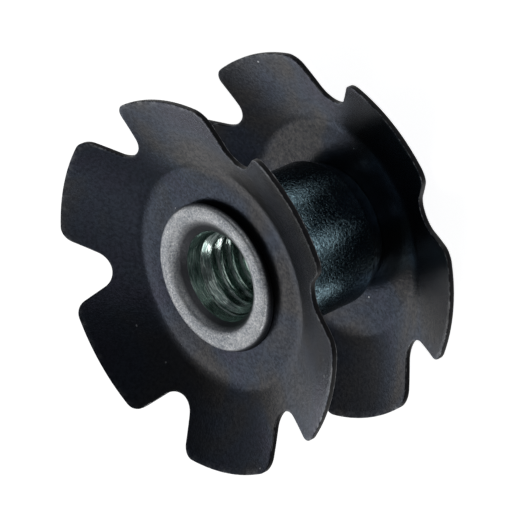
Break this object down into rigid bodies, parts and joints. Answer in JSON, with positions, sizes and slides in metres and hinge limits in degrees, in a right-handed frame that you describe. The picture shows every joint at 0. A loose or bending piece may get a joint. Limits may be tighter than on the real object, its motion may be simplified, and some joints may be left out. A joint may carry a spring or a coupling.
{
  "type": "star nut",
  "caption": "Threaded barrel staked through two dished star washers with notched rims, driven into a tube as an anchor for a bolt.",
  "frame": {"origin": "on the bore axis at the foot of the lower collar, on which the part stands", "axes": "+Z along the bore axis, the way the petals rise and the bolt leaves; +X through a notch of the upper star"},
  "size_m": [0.0264, 0.0264, 0.0147],
  "materials": {
    "zinc_plated_steel": "turned steel with clear zinc plating",
    "blackened_spring_steel": "stamped spring steel, hardened, tempered and oil blackened"
  },
  "bodies": {
    "root": {"threaded_barrel": "zinc_plated_steel", "upper_star": "blackened_spring_steel", "lower_star": "blackened_spring_steel"}
  },
  "joints": []
}
